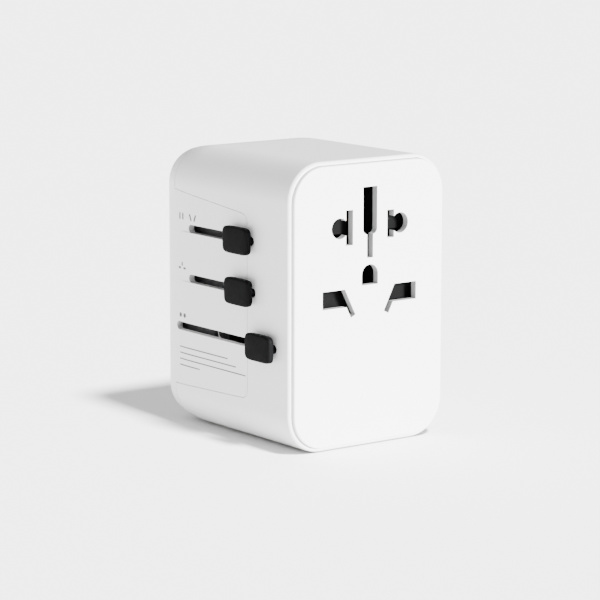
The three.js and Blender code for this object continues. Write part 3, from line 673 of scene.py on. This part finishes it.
def mark(name, steps):
    """A film of ink on the slider side, from (depth, lower edge, upper edge) steps."""
    rings = []
    for depth, low, high in steps:
        x = side_x(depth)
        corners = ((x - FILM, low), (x - FILM, high), (x + FILM, high), (x + FILM, low))
        rings.append([place(a, depth, z) for a, z in corners])
    made = loft(name, rings)
    dress(made, "housing", "grey_plastic", PRINT)


def bar_mark(name, depth, z, length, height):
    count = max(2, round(length))
    steps = []
    for i in range(count + 1):
        t = i / count - 0.5
        steps.append((depth + length * t, z - height / 2, z + height / 2))
    mark(name, steps)


def upright_mark(name, depth, z, thick, height, lean=0):
    """A bar that stands nearly upright and leans by a number of millimetres over its height."""
    half = height / 2
    rings = []
    for at, offset in ((z - half, -lean / 2), (z + half, lean / 2)):
        d0, d1 = depth + offset - thick / 2, depth + offset + thick / 2
        corners = ((side_x(d0) - FILM, d0), (side_x(d1) - FILM, d1), (side_x(d1) + FILM, d1),
                   (side_x(d0) + FILM, d0))
        rings.append([place(x, d, at) for x, d in corners])
    made = loft(name, rings)
    dress(made, "housing", "grey_plastic", PRINT)


def dot_mark(name, depth, z, r):
    points = [(r * math.cos(a), r * math.sin(a)) for a in [math.pi * i / 12 for i in range(1, 12)]]
    mark(name, [(depth + c, z - h, z + h) for c, h in points])


def marks():
    """Small plug signs over the rows' rear ends and four ruled lines under the last row."""
    above = 2.9
    us_z, uk_z, eu_z = (ROWS[name]["z"] + above for name in ("us", "uk", "eu"))
    for i, (depth, lean) in enumerate(((48.4, 0), (46.9, 0), (43.4, 0.7), (41.4, -0.7))):
        upright_mark(f"us_sign_{i}", depth, us_z, 0.6, 1.7, lean)
    upright_mark("uk_sign_earth", 47.4, uk_z + 0.45, 0.6, 1.0)
    for i, depth in enumerate((48.6, 46.2)):
        bar_mark(f"uk_sign_{i}", depth, uk_z - 0.6, 1.1, 0.55)
    for i, depth in enumerate((48.3, 46.3)):
        dot_mark(f"eu_sign_{i}", depth, eu_z, 0.62)
    start, first_z, spacing, thick = 48.8, 20.9, 1.6, 0.3
    for i, end in enumerate((27, 23.3, 19.2, 39.5)):
        bar_mark(f"rule_{i}", (start + end) / 2, first_z - spacing * i, start - end, thick)


marks()


# ---------------------------------------------------------------- sleeves on the pins
def ring_band(name, outline_out, outline_in, depth0, depth1, body):
    rings = [[place(x, d, z) for x, z in outline]
             for d, outline in ((depth0, outline_in), (depth0, outline_out),
                                (depth1, outline_out), (depth1, outline_in))]
    made = loft(name, rings, looped=True)
    soften(made, 0.02, weld=0.001)
    dress(made, body, "black_plastic")


def pin_sleeves():
    """The insulating sleeves moulded on the EU pins and the live UK pins, short of their tips."""
    thick = 0.05
    eu_start, eu_end = 18.6, 7
    uk_start, uk_end = 17.4, 8.8
    for node in ("eu_pin_left", "eu_pin_right"):
        low, high = node_box(node)
        x, z, r = (low.x + high.x) / 2, (low.z + high.z) / 2, (high.z - low.z) / 2
        tip = high.y - FRONT_Y
        outer, inner = (arc(x, z, rr, 0, 360, 40)[:-1] for rr in (r + thick, r - thick))
        ring_band(node + "_sleeve", outer, inner, tip - eu_start, tip - eu_end, "eu_slider")
    for node in ("uk_pin_neutral", "uk_pin_live"):
        low, high = node_box(node)
        tip = high.y - FRONT_Y
        outlines = [round_rect(low.x - g, high.x + g, low.z - g, high.z + g, r=0.8 + g, steps=6)
                    for g in (thick, -thick)]
        ring_band(node + "_sleeve", *outlines, tip - uk_start, tip - uk_end, "uk_slider")


pin_sleeves()


# ---------------------------------------------------------------- shutter spring
def shutter_spring():
    """A coil of round wire with its end turns closed up, which shortens as the shutter goes down."""
    low, high = node_box("shutter_spring")
    wire, turns, steps, sides = 0.3, 8, 24, 10
    centre_x, centre_depth = (low.x + high.x) / 2, (low.y + high.y) / 2 - FRONT_Y
    coil = (high.x - low.x) / 2 - wire
    closed_pitch = 2 * wire + 0.1
    open_pitch = (high.z - low.z - 2 * wire - 2 * closed_pitch) / (turns - 2)
    rings = []
    for i in range(turns * steps + 1):
        turn = i / steps
        closed = min(turn, 1) + max(turn - (turns - 1), 0)
        rise = closed * closed_pitch + (turn - closed) * open_pitch
        angle = 2 * math.pi * turn
        section = []
        for k in range(sides):
            around = 2 * math.pi * k / sides
            r, z = coil + wire * math.cos(around), low.z + wire + rise + wire * math.sin(around)
            x, depth = centre_x + r * math.cos(angle), centre_depth + r * math.sin(angle)
            section.append(place(x, depth, z))
        rings.append(section)
    made = loft("shutter_spring_coil", rings)
    soften(made, 0.04, weld=0.001)
    stand_for(made, "shutter_spring")
    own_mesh(made)


shutter_spring()


# ---------------------------------------------------------------- everything else keeps its CAD shape
def softened_copy(node):
    made = copy_of(frame["nodes"][node])
    made.name = node + "_soft"
    made.parent = None
    thin_sheet = any(word in node for word in ("contact", "bus", "clip"))
    soften(made, 0.06 if thin_sheet else 0.12)
    stand_for(made, node)


REBUILT = {"main_shell", "rear_cover", "front_cover", "us_knob", "uk_knob", "eu_knob",
           "shutter_spring"}
for other_node in frame["nodes"]:
    if other_node not in REBUILT:
        softened_copy(other_node)


# ---------------------------------------------------------------- stage, light and camera
def floor():
    half = 6.0
    made = new_object("floor", [(-half, -half, 0), (half, -half, 0), (half, half, 0), (-half, half, 0)],
                      [(0, 1, 2, 3)])
    material = finish_material("floor_paper", (0.80, 0.80, 0.80), 0.9, grain=2, bump=0.0, variation=0.002,
                               specular=0.0)
    made.data.materials.append(material)
    made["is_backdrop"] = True
    return made


def sun(name, energy, azimuth, elevation, spread, lit):
    """A soft light from afar that lights only the given objects. Azimuth 0 is straight ahead of the
    socket face and 90 is the side opposite the knobs."""
    light = bpy.data.lights.new(name, "SUN")
    light.energy = energy
    light.angle = math.radians(spread)
    obj = bpy.data.objects.new(name, light)
    around, up = math.radians(azimuth), math.radians(elevation)
    towards = Vector((math.sin(around) * math.cos(up), -math.cos(around) * math.cos(up), math.sin(up)))
    obj.rotation_mode = "QUATERNION"
    obj.rotation_quaternion = towards.to_track_quat("Z", "Y")
    bpy.context.scene.collection.objects.link(obj)
    group = bpy.data.collections.new(name + "_lights")
    for item in lit:
        group.objects.link(item)
    obj.light_linking.receiver_collection = group


def lights(ground):
    world = bpy.data.worlds.new("studio")
    bpy.context.scene.world = world
    world.use_nodes = True
    world.node_tree.nodes["Background"].inputs["Color"].default_value = (1, 1, 1, 1)
    world.node_tree.nodes["Background"].inputs["Strength"].default_value = 1.0
    sun("floor_key", 18, 3, 59.5, 9, [ground])
    sun("body_key", 25, 16, 17, 16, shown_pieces())


def camera():
    """Looks down a little at the corner between the slider side and the socket face."""
    yaw, pitch, roll = math.radians(36.778), math.radians(9.817), math.radians(0.069)
    focal_over_width = 4.5452
    distance = 680.2
    across, along_up = -17.493, -18.568
    back = Vector((-math.sin(yaw) * math.cos(pitch), -math.cos(yaw) * math.cos(pitch), math.sin(pitch)))
    right = (-back).cross(Vector((0, 0, 1))).normalized()
    up = right.cross(-back)
    made = bpy.data.cameras.new("camera")
    made.sensor_width = 36
    made.lens = focal_over_width * made.sensor_width
    made.clip_start, made.clip_end = 0.05, 50
    obj = bpy.data.objects.new("camera", made)
    centre = place(0, 0, SOCKET_Z) + (back * distance + right * across + up * along_up) * MM
    turn = Matrix((right, up, back)).transposed() @ Matrix.Rotation(roll, 3, "Z")
    obj.matrix_world = Matrix.Translation(centre) @ turn.to_4x4()
    bpy.context.scene.collection.objects.link(obj)
    bpy.context.scene.camera = obj


lights(floor())
camera()
